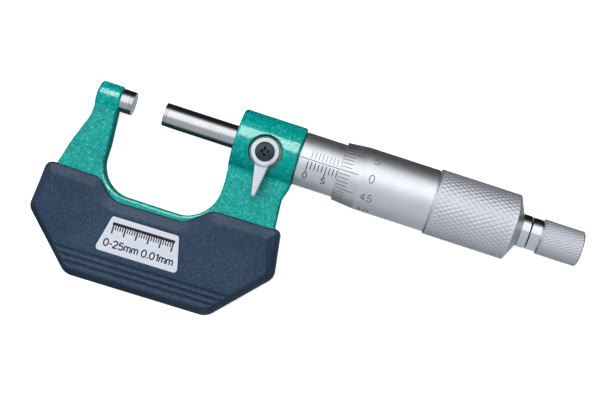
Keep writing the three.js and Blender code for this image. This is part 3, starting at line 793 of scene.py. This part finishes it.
T = 0.006
marks, upper = [ribbon(line((46.6, 0), (81.5, 0), n=3), 0.17, T, on_sleeve)], []
for k in range(0, 26):
    long = k % 5 == 0
    marks.append(ribbon(line((ZERO_X + k, -0.52), (ZERO_X + k, -3.5 if long else -2.5), n=12), 0.24, T, on_sleeve))
    if k < 25:
        upper.append(ribbon(line((ZERO_X + k + 0.5, 0.45), (ZERO_X + k + 0.5, 2.45), n=10), 0.16, T, on_sleeve))
    if long:
        marks.append(lettering(str(k), 1.9, 0.27, (ZERO_X + k + 0.1, -4.6), on_sleeve, T))
build_marks("sleeve_graduations", marks, "frame", INK)
# the half marks above the datum line lie in the sleeve's bright band; their pale grey ink is painted highlight
build_marks("sleeve_half_marks", upper, "frame", INK_SHEEN_GREY)

marks, figures = [], []
for k in range(50):
    place = on_thimble(2 * math.pi * k / 50)
    marks.append(ribbon(line((THIMBLE_X + 0.08, 0), (62.45 if k % 5 == 0 else 60.35, 0), n=3), 0.17, T, place))
    if k % 5 == 0:
        figures.append(lettering(str(k), 2.3, 0.27, (66.1, 0), place, T))
build_marks("thimble_graduations", marks, "thimble", INK)
build_marks("thimble_figures", figures, "thimble", INK_SHEEN_GREY)

# ------------------------------------------------------------------ clamp lever
def lever_shape(x, y, z):
    px, py = x - CLAMP[0], y - CLAMP[1]
    r = np.hypot(px, py)
    hub = rounded(r - HUB_R, np.abs(z - (LEVER_Z0 + LEVER_Z1) / 2) - (LEVER_Z1 - LEVER_Z0) / 2, 0.4)
    t = np.clip(-py / (ARM_L - 0.66), 0, 1)
    half = 2.5 + (0.66 - 2.5) * t
    d2 = np.hypot(px - ARM_LEAN * t, py + t * (ARM_L - 0.66)) - half
    mid = (ARM_Z0 + LEVER_Z1 - 0.12) / 2
    arm = rounded(d2, np.abs(z - mid) - (LEVER_Z1 - 0.12 - ARM_Z0) / 2, 0.38)
    d = smin(hub, arm, 0.5)
    d = np.maximum(d, 1.15 - r)
    d = np.maximum(d, -np.maximum(r - 1.68, z - 8.2))
    return d


V, F = nets(lever_shape, (CLAMP[0] - 4.3, CLAMP[1] - 12.6, 5.9), (CLAMP[0] + 4.3, CLAMP[1] + 4.3, 9.5), 0.13)
make("clamp_lever_arm", V, F, "clamp_lever", "satin_chrome", "clamp_lever", mat=LEVER)


def screw_shape(x, y, z):
    px, py = x - CLAMP[0], y - CLAMP[1]
    r = np.hypot(px, py)
    dome = np.sqrt(r * r + (z - (10.5 - 5.2)) ** 2) - 5.2
    head = smax(rounded(r - 2.6, np.abs(z - 9.9) - 0.75, 0.15), dome, 0.15)
    a = math.radians(12)
    u, v = px * math.cos(a) + py * math.sin(a), -px * math.sin(a) + py * math.cos(a)
    taper = 0.34 - 0.12 * (10.5 - z)
    arm1 = np.maximum(np.abs(u) - taper, np.abs(v) - 1.45 + 0.9 * (10.5 - z))
    arm2 = np.maximum(np.abs(v) - taper, np.abs(u) - 1.45 + 0.9 * (10.5 - z))
    cross = np.maximum(np.minimum(arm1, arm2), 9.5 - z)
    head = smax(head, -cross, 0.08)
    shank = np.maximum(r - 1.0, np.abs(z - 7.5) - 1.9)
    return np.minimum(head, shank)


V, F = nets(screw_shape, (CLAMP[0] - 3, CLAMP[1] - 3, 5.4), (CLAMP[0] + 3, CLAMP[1] + 3, 10.9), 0.1)
make("clamp_screw_head", V, F, "clamp_lever", "black_steel", "clamp_lever_screw", mat=SCREW)

# ------------------------------------------------------------------ carried-over solids
for node, mat in {
    "inner_sleeve": GROUND, "adjusting_nut": GROUND, "ratchet_crown": GROUND, "ratchet_spring": GROUND,
    "ratchet_end_screw": BLACK, "clamp_stud": GROUND, "clamp_shoe": BRASS,
    "cover_screw_left": BLACK, "cover_screw_right": BLACK,
}.items():
    ob = frame["nodes"][node]
    ob.data.materials.clear()
    ob.data.materials.append(mat)

# ------------------------------------------------------------------ stage
def plane(name, centre, normal, size, colour, rough):
    q = Vector(normal).normalized().to_track_quat("Z", "Y")
    mesh = bpy.data.meshes.new(name)
    s = size / 2
    mesh.from_pydata([(-s, -s, 0), (s, -s, 0), (s, s, 0), (-s, s, 0)], [], [(0, 1, 2, 3)])
    ob = bpy.data.objects.new(name, mesh)
    ob.matrix_world = Matrix.Translation(centre) @ q.to_matrix().to_4x4()
    bpy.context.scene.collection.objects.link(ob)
    m, nt, p = new_material(name + "_paper")
    n = noise(nt, coords(nt), 40, 2, 0.5)
    c = np.array(colour[:3])
    nt.links.new(ramp(nt, n, [(0.3, tuple(c * 0.995) + (1,)), (0.7, tuple(c) + (1,))]), p.inputs["Base Color"])
    p.inputs["Roughness"].default_value = rough
    p.inputs["Specular IOR Level"].default_value = 0.1
    mesh.materials.append(m)
    return ob


# the surface that touches the knurl, the barrel boss and the lower edge of the rear cover
SX, SY = -0.0166, -0.0354
floor = plane("floor", (0.0839, 0.0, -0.00903), (-SX, -SY, 1), 6.0, (0.93, 0.93, 0.935), 0.7)
glow = next(n for n in floor.data.materials[0].node_tree.nodes if n.type == "BSDF_PRINCIPLED")
glow.inputs["Emission Color"].default_value = (1, 1, 1, 1)
glow.inputs["Emission Strength"].default_value = 0.75
floor.visible_glossy = False
floor.visible_diffuse = False

# The studio round the object. What shiny metal mirrors is set by direction: a long soft key above,
# from straight ahead to 57 degrees towards +Y, a dark studio past it, and a grey panel below.
world = bpy.data.worlds.new("studio")
bpy.context.scene.world = world
world.use_nodes = True
wt = world.node_tree
bg = wt.nodes["Background"]
tc = wt.nodes.new("ShaderNodeTexCoord")
sep = wt.nodes.new("ShaderNodeSeparateXYZ")
wt.links.new(tc.outputs["Generated"], sep.inputs[0])


def wmath(op, a, b=None, c=None):
    n = wt.nodes.new("ShaderNodeMath")
    n.operation = op
    for i, v in enumerate((a, b, c)):
        if v is None:
            continue
        if isinstance(v, (int, float)):
            n.inputs[i].default_value = v
        else:
            wt.links.new(v, n.inputs[i])
    return n.outputs[0]


def wramp(fac, stops):
    r = wt.nodes.new("ShaderNodeValToRGB")
    el = r.color_ramp.elements
    while len(el) < len(stops):
        el.new(0.5)
    for e, (pos, v) in zip(el, stops):
        e.position = pos
        e.color = (v, v, v, 1) if isinstance(v, (int, float)) else v
    wt.links.new(fac, r.inputs["Fac"])
    return r.outputs["Color"]


turn_angle = wmath("ARCTAN2", sep.outputs["Y"], sep.outputs["Z"])
left = wmath("MAXIMUM", wmath("MINIMUM", wmath("MULTIPLY_ADD", sep.outputs["X"], -12.5, -0.375), 1.0), 0.0)     # 0 right of X = -0.03, 1 left of -0.11
lead = wmath("MULTIPLY", left, 0.26)   # radians
where = wmath("MULTIPLY_ADD", wmath("ADD", turn_angle, lead), 1 / (2 * math.pi), 0.5)      # 0 at -180 degrees, 0.5 straight ahead, 1 at 180


def at(deg):
    return 0.5 + deg / 360


K = 0.5       # the ramp holds values from 0 to 1: half of what is shown
env = wramp(where, [
    (at(-180), 0.58 * K), (at(-125), 0.68 * K), (at(-80), 0.73 * K), (at(-40), 0.80 * K), (at(-13), 0.88 * K),
    (at(-8), 0.72 * K), (at(-3), 0.84 * K), (at(4), 1.25 * K), (at(14), 1.55 * K), (at(56), 1.60 * K),
    (at(68), 0.75 * K), (at(82), 0.08 * K), (at(100), 0.02 * K), (at(152), 0.02 * K), (at(164), 0.45 * K), (at(180), 0.5 * K)])
side = wmath("MULTIPLY_ADD", sep.outputs["X"], 7.0, 0.62)
low = wramp(where, [(at(-170), 1.0), (at(-158), 1.0), (at(-146), 0.0), (at(-97), 0.0), (at(-78), 1.0), (at(179), 1.0)])
side_ramp = wramp(side, [(0.0, 0.04), (1.0, 1.0)])
mixer = wmath("MAXIMUM", low, side_ramp)
under = wmath("MULTIPLY", wramp(where, [(0.0, 1.0), (at(-12), 1.0), (at(-4), 0.0), (1.0, 0.0)]), left)
end_on = wmath("MAXIMUM", wmath("MINIMUM", wmath("MULTIPLY_ADD", sep.outputs["X"], 3.0, -1.05), 1.0), 0.0)          # 0 up to X = 0.35, 1 from 0.68
fall = wmath("MULTIPLY", wmath("MULTIPLY_ADD", under, -0.3, 1.0), wmath("MULTIPLY_ADD", end_on, -0.45, 1.0))
studio = wmath("MULTIPLY", wmath("MULTIPLY", wmath("MULTIPLY", env, mixer), fall), 1 / K)
lp = wt.nodes.new("ShaderNodeLightPath")
AMBIENT = 0.17
# the soft fill on matt surfaces is stronger from above and from the right
fill = wmath("MULTIPLY_ADD", sep.outputs["Y"], 0.1 * AMBIENT, wmath("MULTIPLY_ADD", sep.outputs["X"], 0.1 * AMBIENT, AMBIENT))
matt = wmath("SUBTRACT", wmath("SUBTRACT", 1.0, lp.outputs["Is Glossy Ray"]), lp.outputs["Is Camera Ray"])
level = wmath("ADD", wmath("MULTIPLY", studio, lp.outputs["Is Glossy Ray"]), wmath("MULTIPLY", matt, fill))
level = wmath("MULTIPLY_ADD", lp.outputs["Is Camera Ray"], 0.98, level)                # the backdrop itself is pale
tint = wramp(wmath("MAXIMUM", env, left), [(0.44, (0.87, 0.93, 1.0, 1)), (0.62, (0.975, 0.98, 1.0, 1))])      # the dim walls are cooler than the lamps
cast = wt.nodes.new("ShaderNodeMix")
cast.data_type = "RGBA"
colour_a, colour_b = [k for k in cast.inputs if k.type == "RGBA"]
colour_a.default_value = (0.955, 0.975, 1.0, 1)
wt.links.new(tint, colour_b)
wt.links.new(lp.outputs["Is Glossy Ray"], cast.inputs[0])
wt.links.new(next(k for k in cast.outputs if k.type == "RGBA"), bg.inputs["Color"])
wt.links.new(level, bg.inputs["Strength"])


def softbox(name, degrees, distance, size, power, colour=(1, 1, 1), target=(0.05, -0.012, 0), lean=0.0):
    a = math.radians(degrees)
    d = Vector((math.tan(math.radians(lean)), math.sin(a), math.cos(a))).normalized()
    light = bpy.data.lights.new(name, "AREA")
    light.shape = "RECTANGLE"
    light.size, light.size_y = size
    light.energy = power
    light.color = colour
    ob = bpy.data.objects.new(name, light)
    x = Vector((0, 1, 0)).cross(d).normalized()
    ob.matrix_world = Matrix.Translation(Vector(target) + d * distance) @ Matrix((x, d.cross(x), d)).transposed().to_4x4()
    ob.visible_glossy = False
    bpy.context.scene.collection.objects.link(ob)
    return ob


softbox("front_softbox", 12, 1.1, (0.8, 0.7), 12.2, lean=-8)

# two strips that only give gloss, one to the paint from the upper left and one to the plastic from above
strip = softbox("gloss_strip", 31.5, 1.0, (1.2, 0.71), 135, target=(0.0, -0.004, 0))
strip.visible_glossy = True
strip.visible_diffuse = False
painted = bpy.data.collections.new("painted")
painted.objects.link(bpy.data.objects["frame_casting"])
strip.light_linking.receiver_collection = painted
rim = softbox("rim_strip", 72, 1.0, (1.2, 0.3), 11, target=(0.0, -0.03, 0))
rim.visible_glossy = True
rim.visible_diffuse = False
moulded = bpy.data.collections.new("moulded")
for name in ("front_cover_shell", "rear_cover_shell"):
    moulded.objects.link(bpy.data.objects[name])
rim.light_linking.receiver_collection = moulded

# ------------------------------------------------------------------ camera
ROLL = math.radians(18.06)
STAND = Vector((0.0623, -0.0107, 0.367))        # where the camera stands, square on to the front
FRAMING = Vector((0.0499, -0.01066, 0.0))       # what the middle of the picture shows
LENS = 1380 / 600 * 36
cam_data = bpy.data.cameras.new("camera")
cam_data.sensor_width = 36
cam_data.lens = LENS
right, up, back = Vector((math.cos(ROLL), math.sin(ROLL), 0)), Vector((-math.sin(ROLL), math.cos(ROLL), 0)), Vector((0, 0, 1))
off = FRAMING - STAND - right * 0.00016 + up * 0.0001
cam_data.shift_x = off.dot(right) / STAND.z * LENS / 36
cam_data.shift_y = off.dot(up) / STAND.z * LENS / 36
cam = bpy.data.objects.new("camera", cam_data)
bpy.context.scene.collection.objects.link(cam)
cam.matrix_world = Matrix.Translation(STAND) @ Matrix((right, up, back)).transposed().to_4x4()
bpy.context.scene.camera = cam

scene = bpy.context.scene
scene.view_settings.view_transform = "Standard"
scene.view_settings.look = "None"
scene.view_settings.exposure = 0.0
